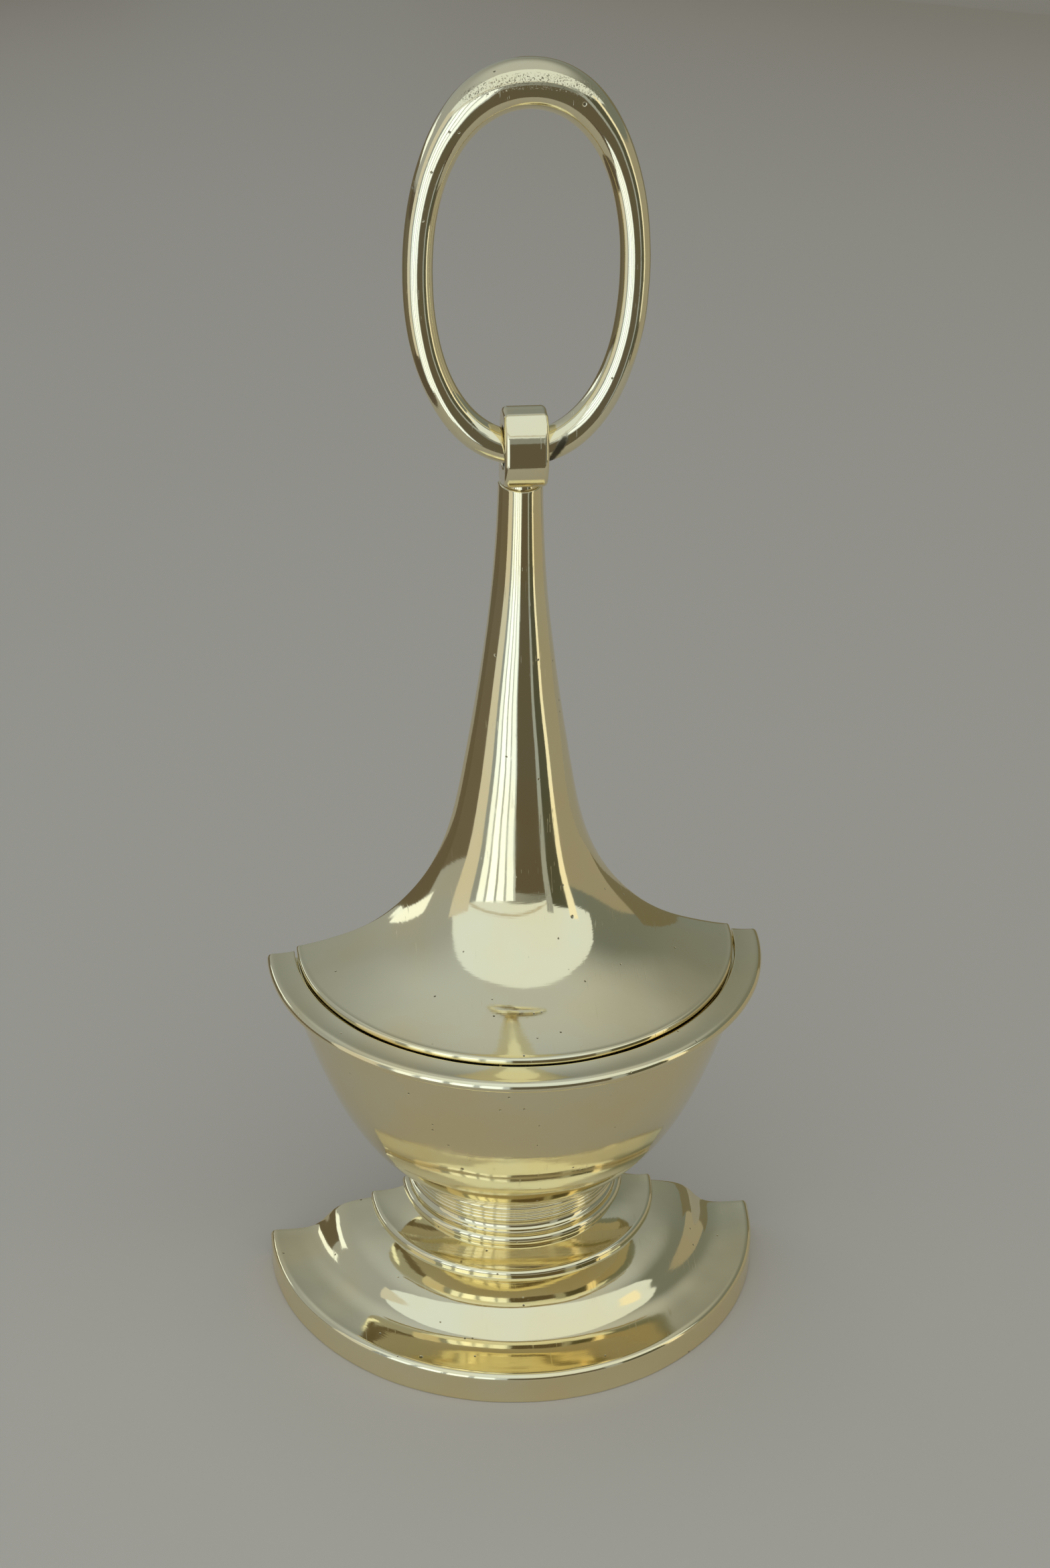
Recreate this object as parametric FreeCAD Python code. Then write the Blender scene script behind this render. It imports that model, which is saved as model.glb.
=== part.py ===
"""Half-round brass door porter: a half urn on a foot, with a trumpet stem and an oval ring handle.

Millimetres. +Z is up and -Y is the front. Every brass casting is one half of a turned shape, cut off
by a flat back at y = BACK_Y, so the axis of turning lies in that back plane. The origin is the centre
of the footprint on the floor.
"""
import FreeCAD, Part
import math
import os

Vector = FreeCAD.Vector

# Driving dimensions
BASE_RADIUS = 80.0          # half the width of the foot
BACK_Y = BASE_RADIUS / 2    # the flat back; the footprint is centred on y = 0
WALL = 3.5                  # thickness of the hollow castings

BAND_HEIGHT = 8.3           # upright band round the foot
NECK_Z = 29.6               # joint between foot and bowl
BOWL_Z = 41.0               # where the cup springs from the neck's collar
RIM_Z = 115.2               # underside of the rim
RIM_RADIUS = 77.6
RIM_TOP_Z = 119.3
SEAT_Z = 116.8              # ledge inside the rim that carries the cover
SEAT_RADIUS = 69.0
COVER_RADIUS = 68.2         # leaves a narrow groove inside the rim
STEM_TOP_Z = 275.0
STEM_SPLIT_Z = 150.0        # below this the cover is round, above it the stem grows deeper than wide
STEM_EXTRA_DEPTH = 2.5      # extra depth of the stem at its top

EYE_WIDTH = 12.5
EYE_DEPTH = 16.8
EYE_BOTTOM_Z = 276.4
EYE_TOP_Z = 299.9
EYE_BORE_RADIUS = 5.7
PIVOT_INSET = 8.4           # ring's plane, in front of the flat back
PIVOT_Z = 288.7

RING_HALF_WIDTH = 29.8      # centreline oval of the ring
RING_HALF_HEIGHT = 51.3
RING_FULLNESS = 2.14        # exponent of the oval; 2 is an ellipse, more is squarer
RING_DROP = 0.4             # the ring's lowest point hangs this far under the bore's axis
RING_THIN = 4.2             # section radius at the sides
RING_IN_EYE = 4.85          # section radius in the eye
RING_THICK = 6.8            # section radius at the top

TIE_INSET = 8.0             # tie rod's axis, in front of the flat back
TIE_RADIUS = 4.0
TIE_CLEARANCE = 0.1
TIE_BOTTOM_Z = 7.5
TIE_TOP_Z = 182.0
WASHER_RADIUS = 7.2
WASHER_THICKNESS = 1.6
NUT_SIDE = 12.5
NUT_HEIGHT = 6.4

FOOT_CEILING_Z = 18.2       # underside of the foot's web
NECK_WEB_TOP_Z = 34.0       # upper side of the bowl's web
COVER_CAVITY_TOP_Z = 158.0
LEAD_GAP = 0.1              # shrinkage between the lead and the brass
LEAD_RECESS = 1.5           # the lead stops short of the flat back
LEAD_TOP_Z = 76.0

SPIGOT_RADIUS = 3.0
SPIGOT_LENGTH = 14.0
SPIGOT_INSET = 4.5


# Outlines, drawn as (distance from the axis, height)

def at(point):
    radius, height = point
    return Vector(radius, BACK_Y, height)


def line(start, end):
    return Part.makeLine(at(start), at(end))


def arc(start, middle, end):
    return Part.Arc(at(start), at(middle), at(end)).toShape()


def curve(*points):
    spline = Part.BSplineCurve()
    spline.interpolate([at(point) for point in points])
    return spline.toShape()


def polyline(*points):
    return [line(start, end) for start, end in zip(points, points[1:])]


def half_turn(edges):
    """Turn a closed outline half a revolution, from +X through the front to -X."""
    face = Part.Face(Part.Wire(edges))
    return face.revolve(Vector(0, BACK_Y, 0), Vector(0, 0, 1), -180)


def upright_cylinder(radius, bottom, top, inset):
    return Part.makeCylinder(radius, top - bottom, Vector(0, BACK_Y - inset, bottom))


def tie_hole(bottom, top):
    return upright_cylinder(TIE_RADIUS + TIE_CLEARANCE, bottom, top, TIE_INSET)


# Foot

def foot_inside():
    """Points of the hollow under the foot, from the floor up to the web."""
    wall_foot = BASE_RADIUS - WALL
    return [(wall_foot, 0), (wall_foot, 6.2), (65.5, 8.0), (56.5, 14.2), (43.0, FOOT_CEILING_Z)]


def make_foot():
    nose = (BASE_RADIUS, BAND_HEIGHT)
    outside = [
        line((BASE_RADIUS, 0), nose),
        arc(nose, (79.4, 9.9), (77.8, 10.5)),                         # rounded edge over the band
        curve((77.8, 10.5), (72.0, 10.5), (67.5, 10.9), (64.6, 12.0), # flat top, then the riser
              (61.8, 14.5), (59.0, 17.5), (55.2, 19.7), (51.0, 20.8), (46.6, 21.5)),
        line((46.6, 21.5), (46.6, 22.6)),                             # step ring
        arc((46.6, 22.6), (46.1, 23.7), (45.0, 24.1)),
        arc((45.0, 24.1), (39.6, 24.5), (35.0, 26.0)),                # shallow cove
        arc((35.0, 26.0), (36.2, 27.8), (34.2, NECK_Z)),              # bead under the neck
    ]
    web = polyline((34.2, NECK_Z), (0, NECK_Z), (0, FOOT_CEILING_Z))
    inside = foot_inside()
    hollow = polyline((0, FOOT_CEILING_Z), *reversed(inside)) + [line(inside[0], (BASE_RADIUS, 0))]
    foot = half_turn(outside + web + hollow)
    return foot.cut(tie_hole(FOOT_CEILING_Z - 1, NECK_Z + 1))


def lead_in(points, bottom, top):
    """Lead that fills a hollow: its outline drawn in by the gap, its back face set in."""
    filled = [(radius - LEAD_GAP, height) for radius, height in points]
    filled = [(radius, min(max(height, bottom), top)) for radius, height in filled]
    lead = half_turn(polyline((0, bottom), *filled, (0, top), (0, bottom)))
    recess = Part.makeBox(400, 2 * LEAD_RECESS, 400, Vector(-200, BACK_Y - LEAD_RECESS, -50))
    return lead.cut(recess)


def make_foot_ballast():
    lead = lead_in(foot_inside(), 1.0, FOOT_CEILING_Z - LEAD_GAP)
    pocket_width = 2 * WASHER_RADIUS + 6
    pocket_depth = TIE_INSET + WASHER_RADIUS + 2
    pocket = Part.makeBox(pocket_width, pocket_depth, 40,
                          Vector(-pocket_width / 2, BACK_Y - pocket_depth, TIE_BOTTOM_Z - 2.5))
    return lead.cut(pocket)


# Bowl

def reeds(radius, bottom, count, pitch, height):
    """A run of small half-round ridges round the neck."""
    ridges = []
    for index in range(count):
        start = bottom + index * pitch
        ridges.append(arc((radius, start), (radius + height, start + pitch / 2), (radius, start + pitch)))
    return ridges


BOWL_INSIDE = [(28.5, NECK_WEB_TOP_Z), (28.5, 41.5), (39.8, 50.2), (49.3, 62.4), (57.3, 78.3),
               (63.4, 95.5), (67.3, 111.0)]


def make_bowl():
    reed_radius, reed_pitch, reed_count = 34.0, 1.15, 3
    reed_start = 35.8
    reed_end = reed_start + reed_count * reed_pitch
    outside = [
        arc((34.2, NECK_Z), (32.6, 32.0), (reed_radius, 34.4)),                 # waist of the neck
        arc((reed_radius, 34.4), (34.6, 35.1), (reed_radius, reed_start)),
        *reeds(reed_radius, reed_start, reed_count, reed_pitch, 0.45),
        line((reed_radius, reed_end), (34.9, 39.4)),
        arc((34.9, 39.4), (35.7, 40.2), (35.2, BOWL_Z)),                        # collar under the cup
        curve((35.2, BOWL_Z), (43.5, 47.8), (52.8, 60.0), (60.8, 76.5), (67.0, 94.5), (73.0, RIM_Z)),
        line((73.0, RIM_Z), (76.7, RIM_Z)),
        arc((76.7, RIM_Z), (RIM_RADIUS, 116.9), (75.9, 118.7)),                 # rounded edge of the rim
        arc((75.9, 118.7), (72.4, 118.8), (SEAT_RADIUS, RIM_TOP_Z)),            # dished top of the rim
    ]
    ledge = polyline((SEAT_RADIUS, RIM_TOP_Z), (SEAT_RADIUS, SEAT_Z), (63.0, SEAT_Z), (63.0, 113.4),
                     BOWL_INSIDE[-1])
    wall = [curve(*reversed(BOWL_INSIDE[1:]))]
    web = polyline(BOWL_INSIDE[1], BOWL_INSIDE[0], (0, NECK_WEB_TOP_Z), (0, NECK_Z), (34.2, NECK_Z))
    bowl = half_turn(outside + ledge + wall + web)
    return bowl.cut(tie_hole(NECK_Z - 1, NECK_WEB_TOP_Z + 1))


def make_bowl_ballast():
    points = [point for point in BOWL_INSIDE if point[1] < LEAD_TOP_Z] + [(56.0, LEAD_TOP_Z)]
    lead = lead_in(points, NECK_WEB_TOP_Z, LEAD_TOP_Z)
    return lead.cut(tie_hole(NECK_WEB_TOP_Z - 1, LEAD_TOP_Z + 1))


# Cover and stem

def stem_outline():
    """The cover's whole outline, from the edge of the lid to the top of the stem."""
    spline = Part.BSplineCurve()
    spline.interpolate([at(point) for point in (
        (67.2, 121.2), (56.8, 123.7), (46.5, 127.6), (35.4, 136.0), (27.0, 147.0), (21.4, 160.0),
        (16.9, 180.0), (12.4, 208.0), (8.4, 240.0), (6.5, STEM_TOP_Z))])
    return spline


def stem_radius(outline, height):
    low, high = outline.FirstParameter, outline.LastParameter
    for _ in range(50):
        middle = (low + high) / 2
        if outline.value(middle).z < height:
            low = middle
        else:
            high = middle
    return outline.value(low).x


def stem_depth(radius, height):
    share = min(max((height - STEM_SPLIT_Z) / (STEM_TOP_Z - STEM_SPLIT_Z), 0), 1)
    return radius + STEM_EXTRA_DEPTH * share * share * (3 - 2 * share)


def stem_loft(sections):
    """The front half of a loft through level ellipses, each given as (half width, depth, height)."""
    wires = []
    for radius, depth, height in sections:
        centre = Vector(0, BACK_Y, height)
        front, right = centre - Vector(0, depth, 0), centre + Vector(radius, 0, 0)
        back, left = centre + Vector(0, depth, 0), centre - Vector(radius, 0, 0)
        if depth > radius:
            ellipse = Part.Ellipse(front, right, centre)
            halves = [Part.ArcOfEllipse(ellipse, 0, math.pi), Part.ArcOfEllipse(ellipse, math.pi, 2 * math.pi)]
        else:
            halves = [Part.Arc(front, right, back), Part.Arc(back, left, front)]
        wires.append(Part.Wire([half.toShape() for half in halves]))
    front_space = Part.makeBox(400, 400, 400, Vector(-200, BACK_Y - 400, 0))
    return Part.makeLoft(wires, True, False).common(front_space)


def make_cover():
    outline = stem_outline()
    lid_edge = (67.2, 121.2)
    lid = half_turn([
        line((0, SEAT_Z), (COVER_RADIUS, SEAT_Z)),
        line((COVER_RADIUS, SEAT_Z), (COVER_RADIUS, 120.2)),
        arc((COVER_RADIUS, 120.2), (67.95, 120.9), lid_edge),
        outline.toShape(),
        *polyline((6.5, STEM_TOP_Z), (0, STEM_TOP_Z), (0, SEAT_Z)),
    ])
    lid = lid.common(Part.makeBox(400, 400, STEM_SPLIT_Z, Vector(-200, -200, 0)))
    sections = []
    for height in (STEM_SPLIT_Z, 158, 168, 180, 194, 208, 224, 240, 257, STEM_TOP_Z):
        radius = stem_radius(outline, height)
        sections.append((radius, stem_depth(radius, height), height))
    stem = stem_loft(sections)
    cavity = half_turn([
        *polyline((0, SEAT_Z - 1), (62.0, SEAT_Z - 1), (62.0, SEAT_Z + 1.2)),
        curve((62.0, SEAT_Z + 1.2), (52.0, 120.7), (43.0, 124.6), (31.5, 134.5), (23.3, 146.0),
              (17.0, COVER_CAVITY_TOP_Z)),
        *polyline((17.0, COVER_CAVITY_TOP_Z), (0, COVER_CAVITY_TOP_Z), (0, SEAT_Z - 1)),
    ])
    socket = upright_cylinder(SPIGOT_RADIUS, STEM_TOP_Z - SPIGOT_LENGTH, STEM_TOP_Z + 1, SPIGOT_INSET)
    cover = lid.fuse(stem).removeSplitter()
    return cover.cut([cavity, tie_hole(COVER_CAVITY_TOP_Z - 1, TIE_TOP_Z), socket])


# Eye and ring

def softened(half_width, far, near, corner_width, corner_length):
    """A rectangle with its two far corners rounded, as (across, along) points of a closed outline."""
    shoulder = far - corner_length
    edge = half_width - corner_width
    bulge_across = half_width - 0.29 * corner_width
    bulge_along = far - 0.29 * corner_length
    return [((-half_width, near), (-half_width, shoulder)),
            ((-half_width, shoulder), (-bulge_across, bulge_along), (-edge, far)),
            ((-edge, far), (edge, far)),
            ((edge, far), (bulge_across, bulge_along), (half_width, shoulder)),
            ((half_width, shoulder), (half_width, near)),
            ((half_width, near), (-half_width, near))]


def prism(pieces, place, sweep):
    """Extrude an outline of lines and arcs, each given by two or three points."""
    edges = []
    for piece in pieces:
        points = [place(point) for point in piece]
        edges.append(Part.makeLine(*points) if len(points) == 2 else Part.Arc(*points).toShape())
    return Part.Face(Part.Wire(edges)).extrude(sweep)


def make_eye():
    side_view = [                                                     # (in front of the back, height)
        ((0, EYE_BOTTOM_Z), (0, 293.2)),
        ((0, 293.2), (2.2, 297.9), (7.5, EYE_TOP_Z)),                 # rounded off behind the top
        ((7.5, EYE_TOP_Z), (9.4, 299.65), (11.3, 299.6)),             # filed, slightly hollow top
        ((11.3, 299.6), (12.0, 299.4), (12.48, 298.95)),
        ((12.48, 298.95), (16.63, 290.2), (14.88, 280.2)),            # barrel front
        ((14.88, 280.2), (13.3, 278.37), (10.43, 277.47)),            # lip that overhangs the stem
        ((10.43, 277.47), (8.0, EYE_BOTTOM_Z)),
        ((8.0, EYE_BOTTOM_Z), (0, EYE_BOTTOM_Z)),
    ]
    half = EYE_WIDTH / 2
    block = prism(side_view, lambda point: Vector(-half, BACK_Y - point[0], point[1]), Vector(EYE_WIDTH, 0, 0))
    front_view = softened(half, EYE_TOP_Z + 0.1, EYE_BOTTOM_Z - 1, 1.0, 1.0)
    top_view = softened(half, EYE_DEPTH + 0.1, -1, 1.0, 2.6)
    block = block.common(prism(front_view, lambda point: Vector(point[0], BACK_Y + 1, point[1]),
                               Vector(0, -EYE_DEPTH - 2, 0)))
    block = block.common(prism(top_view, lambda point: Vector(point[0], BACK_Y - point[1], EYE_BOTTOM_Z - 1),
                               Vector(0, 0, 30)))
    neck = stem_loft([(6.1, 8.7, STEM_TOP_Z), (5.8, 8.3, 275.8), (5.9, 8.4, EYE_BOTTOM_Z + 0.4)])
    spigot = upright_cylinder(SPIGOT_RADIUS, STEM_TOP_Z - SPIGOT_LENGTH + 0.3, STEM_TOP_Z + 2, SPIGOT_INSET)
    eye = block.fuse([neck, spigot])
    bore = Part.makeCylinder(EYE_BORE_RADIUS, EYE_WIDTH + 2,
                             Vector(-EYE_WIDTH / 2 - 1, BACK_Y - PIVOT_INSET, PIVOT_Z), Vector(1, 0, 0))
    eye = eye.cut(bore)
    for side in (-1, 1):
        mouth = Part.makeCone(EYE_BORE_RADIUS, EYE_BORE_RADIUS + 1.2, 1.2,
                              Vector(side * (EYE_WIDTH / 2 - 0.9), BACK_Y - PIVOT_INSET, PIVOT_Z),
                              Vector(side, 0, 0))
        eye = eye.cut(mouth)
    return eye


def ring_section_radius(from_top):
    """The ring swells towards its top, where it is held, and a little towards the eye."""
    from_eye = math.pi - abs(from_top)
    held = math.exp(-(abs(from_top) / math.radians(44)) ** 2.6)
    hung = math.exp(-(from_eye / math.radians(40)) ** 3)
    return RING_THIN + (RING_THICK - RING_THIN) * held + (RING_IN_EYE - RING_THIN) * hung


def ring_section(from_top):
    """A round section of the ring; from_top is the angle round the centreline, 0 at the top."""
    across, up = math.sin(from_top), math.cos(from_top)
    power = 2 / RING_FULLNESS
    centre = Vector(RING_HALF_WIDTH * math.copysign(abs(across) ** power, across), BACK_Y - PIVOT_INSET,
                    PIVOT_Z - RING_DROP + RING_HALF_HEIGHT * (1 + math.copysign(abs(up) ** power, up)))
    along = Vector(math.copysign(abs(up) ** (2 - power), up) / RING_HALF_HEIGHT, 0,
                   -math.copysign(abs(across) ** (2 - power), across) / RING_HALF_WIDTH)
    along.normalize()
    front = Vector(0, -1, 0)
    outward = front.cross(along)
    reach = ring_section_radius(from_top)
    outer, inner = centre + outward * reach, centre - outward * reach
    near, far = centre + front * reach, centre - front * reach
    return Part.Wire([Part.Arc(outer, near, inner).toShape(), Part.Arc(inner, far, outer).toShape()])


def make_ring():
    """Two lofted halves that meet at the top and in the eye."""
    steps = 16
    halves = []
    for side in (-1, 1):
        sections = [ring_section(side * math.pi * step / steps) for step in range(steps + 1)]
        halves.append(Part.makeLoft(sections, True, False))
    return halves[0].fuse(halves[1]).removeSplitter()


# Iron tie

def make_tie_rod():
    rod = upright_cylinder(TIE_RADIUS, TIE_BOTTOM_Z, TIE_TOP_Z - 1, TIE_INSET)
    ends = [edge for edge in rod.Edges if abs(edge.BoundBox.ZLength) < 1e-6]
    return rod.makeChamfer(0.6, ends)


def make_tie_washer():
    bottom = FOOT_CEILING_Z - WASHER_THICKNESS
    washer = upright_cylinder(WASHER_RADIUS, bottom, FOOT_CEILING_Z, TIE_INSET)
    return washer.cut(tie_hole(bottom - 1, FOOT_CEILING_Z + 1))


def make_tie_nut():
    bottom = FOOT_CEILING_Z - WASHER_THICKNESS - NUT_HEIGHT
    nut = Part.makeBox(NUT_SIDE, NUT_SIDE, NUT_HEIGHT,
                       Vector(-NUT_SIDE / 2, BACK_Y - TIE_INSET - NUT_SIDE / 2, bottom))
    corners = [edge for edge in nut.Edges if edge.BoundBox.ZLength > NUT_HEIGHT / 2]
    nut = nut.makeChamfer(1.0, corners)
    return nut.cut(tie_hole(bottom - 1, bottom + NUT_HEIGHT + 1))


PARTS = {
    "foot": make_foot,
    "foot_ballast": make_foot_ballast,
    "bowl": make_bowl,
    "bowl_ballast": make_bowl_ballast,
    "cover": make_cover,
    "eye": make_eye,
    "ring": make_ring,
    "tie_rod": make_tie_rod,
    "tie_washer": make_tie_washer,
    "tie_nut": make_tie_nut,
}

os.makedirs("parts", exist_ok=True)
for name, make in PARTS.items():
    shape = make()
    if len(shape.Solids) == 1:
        shape = shape.Solids[0]
    shape.exportStep("parts/" + name + ".step")
    box = shape.BoundBox
    print("%-14s valid %s  solids %d  volume %.0f mm3  box x %.1f..%.1f y %.1f..%.1f z %.1f..%.1f" % (
        name, shape.isValid(), len(shape.Solids), shape.Volume,
        box.XMin, box.XMax, box.YMin, box.YMax, box.ZMin, box.ZMax))
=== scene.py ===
"""Looks of the half-round brass door porter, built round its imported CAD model.

Lengths are in millimetres until a mesh is made, and then in metres. A casting is drawn as an outline
of (distance from the axis, height), turned half a revolution in front of the flat back.
"""

import math

import bmesh
import bpy
import numpy as np
from mathutils import Matrix, Vector, geometry, noise


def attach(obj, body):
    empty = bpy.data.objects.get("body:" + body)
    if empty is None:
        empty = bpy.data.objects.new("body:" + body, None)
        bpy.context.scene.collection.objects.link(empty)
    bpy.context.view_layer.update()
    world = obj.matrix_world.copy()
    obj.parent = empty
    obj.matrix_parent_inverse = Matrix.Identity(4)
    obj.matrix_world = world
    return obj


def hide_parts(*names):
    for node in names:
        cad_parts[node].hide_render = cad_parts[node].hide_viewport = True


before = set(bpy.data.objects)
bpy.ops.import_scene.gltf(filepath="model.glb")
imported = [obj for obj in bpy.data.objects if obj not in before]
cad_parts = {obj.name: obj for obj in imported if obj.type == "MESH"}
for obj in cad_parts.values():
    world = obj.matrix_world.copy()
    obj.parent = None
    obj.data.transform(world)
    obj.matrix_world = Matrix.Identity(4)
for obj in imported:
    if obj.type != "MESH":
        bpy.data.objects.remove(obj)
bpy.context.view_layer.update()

MM = 0.001
BACK_Y = 40.0               # the flat back
EDGE_BREAK = 0.12           # rounding of the castings' edges at the flat back
NECK_Z = 29.6               # joint between foot and bowl
BOWL_Z = 41.0
RIM_Z = 115.2
SEAT_Z = 116.8
STEM_SPLIT_Z = 150.0        # above this the stem is deeper than it is wide
STEM_TOP_Z = 275.0
STEM_EXTRA_DEPTH = 2.5
PIVOT_INSET = 8.4
PIVOT_Z = 288.7
BORE_RADIUS = 5.7
TIE_INSET = 8.0
TIE_RADIUS = 4.0
TIE_BORE = 4.12             # bore radius of the washer and nut

# In metres: the part of the floor that shows in the metal, and the whole floor
TABLE_LEFT, TABLE_RIGHT, TABLE_EDGE_Y = -0.3, 0.5, -0.3
FLOOR_REACH = 7.0


# Outlines

def arc(start, middle, end, step=7.0):
    """Points on the circle through three points, about step degrees apart."""
    (ax, ay), (bx, by), (cx, cy) = start, middle, end
    d = 2 * (ax * (by - cy) + bx * (cy - ay) + cx * (ay - by))
    a, b, c = ax * ax + ay * ay, bx * bx + by * by, cx * cx + cy * cy
    centre = np.array([a * (by - cy) + b * (cy - ay) + c * (ay - by),
                       a * (cx - bx) + b * (ax - cx) + c * (bx - ax)]) / d
    first, middle_angle, last = (math.atan2(y - centre[1], x - centre[0])
                                 for x, y in (start, middle, end))
    turn = (last - first) % (2 * math.pi)
    if (middle_angle - first) % (2 * math.pi) > turn:
        turn -= 2 * math.pi
    count = max(3, round(abs(math.degrees(turn)) / step))
    radius = math.hypot(ax - centre[0], ay - centre[1])
    angles = first + turn * np.linspace(0, 1, count + 1)
    return [tuple(centre + radius * np.array([math.cos(t), math.sin(t)])) for t in angles]


def line(start, end, spacing=1e9):
    count = max(1, round(math.dist(start, end) / spacing))
    start, end = np.array(start), np.array(end)
    return [tuple(start + (end - start) * k / count) for k in range(count + 1)]


def curve(points, spacing=0.9):
    """Points along the smooth cubic through the given ones."""
    p = np.array(points, float)
    h = np.linalg.norm(np.diff(p, axis=0), axis=1)
    t = np.concatenate([[0], np.cumsum(h)])
    slope = np.diff(p, axis=0) / h[:, None]
    start = slope[0] + (slope[0] - slope[1]) * h[0] / (h[0] + h[1])
    end = slope[-1] + (slope[-1] - slope[-2]) * h[-1] / (h[-1] + h[-2])
    count = len(p)
    matrix, right = np.zeros((count, count)), np.zeros((count, 2))
    matrix[0, :2], right[0] = (2 * h[0], h[0]), 6 * (slope[0] - start)
    matrix[-1, -2:], right[-1] = (h[-1], 2 * h[-1]), 6 * (end - slope[-1])
    for k in range(1, count - 1):
        matrix[k, k - 1:k + 2] = h[k - 1], 2 * (h[k - 1] + h[k]), h[k]
        right[k] = 6 * (slope[k] - slope[k - 1])
    bend = np.linalg.solve(matrix, right)
    s = np.linspace(0, t[-1], max(2, round(t[-1] / spacing)) + 1)
    k = np.clip(np.searchsorted(t, s, side="right") - 1, 0, count - 2)
    a, b, w = ((t[k + 1] - s) / h[k])[:, None], ((s - t[k]) / h[k])[:, None], h[k][:, None]
    bent = ((a**3 - a) * bend[k] + (b**3 - b) * bend[k + 1]) * w * w / 6
    return [tuple(q) for q in a * p[k] + b * p[k + 1] + bent]


def outline(*pieces):
    """The pieces end to end as one closed outline, with no point twice."""
    points = []
    for piece in pieces:
        for point in piece:
            if not points or math.dist(point, points[-1]) > 1e-6:
                points.append(tuple(map(float, point)))
    if math.dist(points[0], points[-1]) < 1e-6:
        points.pop()
    return points


def walked(profile, corner, step, reach):
    """The point that lies reach along the outline from a corner, and the points passed on the way."""
    here, passed, count = corner, [], len(profile)
    while True:
        after = (here + step) % count
        length = math.dist(profile[here], profile[after])
        if length > reach:
            return profile[here] + (profile[after] - profile[here]) * reach / length, passed
        reach -= length
        here = after
        passed.append(here)


def softened(points, reach=0.5, inner_reach=0.12, least_turn=25.0):
    """The closed outline with its corners rounded, the outward ones more, and none on the axis."""
    profile = np.array(points)
    ahead, behind = np.roll(profile, -1, axis=0) - profile, profile - np.roll(profile, 1, axis=0)
    turn = np.degrees(np.arctan2(behind[:, 0] * ahead[:, 1] - behind[:, 1] * ahead[:, 0],
                                 np.sum(behind * ahead, axis=1)))
    turn *= np.sign(np.sum(turn))
    rounded, dropped = {}, set()
    for k in np.flatnonzero((np.abs(turn) > least_turn) & (profile[:, 0] > 1e-6)):
        distance = reach if turn[k] > 0 else inner_reach
        (entry, before), (leave, after) = (walked(profile, k, step, distance) for step in (-1, 1))
        dropped.update(before + after)
        rounded[k] = [entry * (1 - s) ** 2 + profile[k] * 2 * s * (1 - s) + leave * s * s
                      for s in (0.0, 0.25, 0.5, 0.75, 1.0)]
    result = []
    for k, point in enumerate(profile):
        result += rounded[k] if k in rounded else [] if k in dropped else [point]
    return result


# Meshes

def new_object(name, vertices, faces, flat_faces=(), sharp_degrees=40.0):
    """A smooth-shaded mesh object from points in millimetres; the faces from flat_faces on are flat."""
    mesh = bpy.data.meshes.new(name)
    mesh.from_pydata([Vector(v) * MM for v in vertices], [], [*faces, *flat_faces])
    mesh.update()
    mesh.shade_smooth()
    for polygon in mesh.polygons[len(faces):]:
        polygon.use_smooth = False
    work = bmesh.new()
    work.from_mesh(mesh)
    bmesh.ops.recalc_face_normals(work, faces=work.faces)
    work.to_mesh(mesh)
    work.free()
    mesh.set_sharp_from_angle(angle=math.radians(sharp_degrees))
    obj = bpy.data.objects.new(name, mesh)
    bpy.context.scene.collection.objects.link(obj)
    return obj


def half_turn(name, points, deepening=None, steps=200, edge=EDGE_BREAK):
    """Turn a closed outline half a revolution in front of the flat back, with its back edges broken.

    deepening gives, for a height, how many times deeper than wide the piece is there.
    """
    profile = np.array(points)
    count = len(profile)
    depth = np.array([deepening(z) if deepening else 1.0 for z in profile[:, 1]])
    on_axis = profile[:, 0] < 1e-6
    area = np.sum(profile[:, 0] * np.roll(profile[:, 1], -1)
                  - np.roll(profile[:, 0], -1) * profile[:, 1])
    along = np.roll(profile, -1, axis=0) - np.roll(profile, 1, axis=0)
    inward = np.stack([-along[:, 1], along[:, 0]], axis=1) * np.sign(area)
    inward /= np.linalg.norm(inward, axis=1)[:, None]

    def back_loop(side, angle):
        """The outline at an end of the turn, angle degrees round the broken edge."""
        lift = edge * (1 - math.cos(math.radians(angle)))
        inset = edge * (1 - math.sin(math.radians(angle)))
        moved = profile + inward * lift
        radius = np.maximum(moved[:, 0], 0)
        x = side * np.sqrt(np.maximum(radius**2 - (inset / depth) ** 2, 0))
        return np.stack([x, np.full(count, BACK_Y - inset), moved[:, 1]], axis=1)

    loops = [back_loop(1, angle) for angle in (90, 60, 30)]
    start = np.arcsin(np.clip(edge / np.maximum(profile[:, 0] * depth, edge), 0, 1))
    for step in range(steps + 1):
        angle = start + (math.pi - 2 * start) * step / steps
        loops.append(np.stack([profile[:, 0] * np.cos(angle),
                               BACK_Y - profile[:, 0] * depth * np.sin(angle), profile[:, 1]], axis=1))
    loops += [back_loop(-1, angle) for angle in (30, 60, 90)]

    vertices, index = [], np.zeros((len(loops), count), int)
    for k in range(count):
        if on_axis[k]:
            index[:, k] = len(vertices)
            vertices.append((0, BACK_Y, profile[k, 1]))
    for row, loop in enumerate(loops):
        for k in range(count):
            if not on_axis[k]:
                index[row, k] = len(vertices)
                vertices.append(tuple(loop[k]))
    faces = []
    for row in range(len(loops) - 1):
        for k in range(count):
            n = (k + 1) % count
            corners = [index[row, k], index[row, n], index[row + 1, n], index[row + 1, k]]
            corners = [int(c) for i, c in enumerate(corners) if c not in corners[:i]]
            if len(corners) > 2:
                faces.append(corners)
    ends = back_face(vertices, index[0]) + back_face(vertices, index[-1])
    return new_object(name, vertices, faces, ends)


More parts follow.
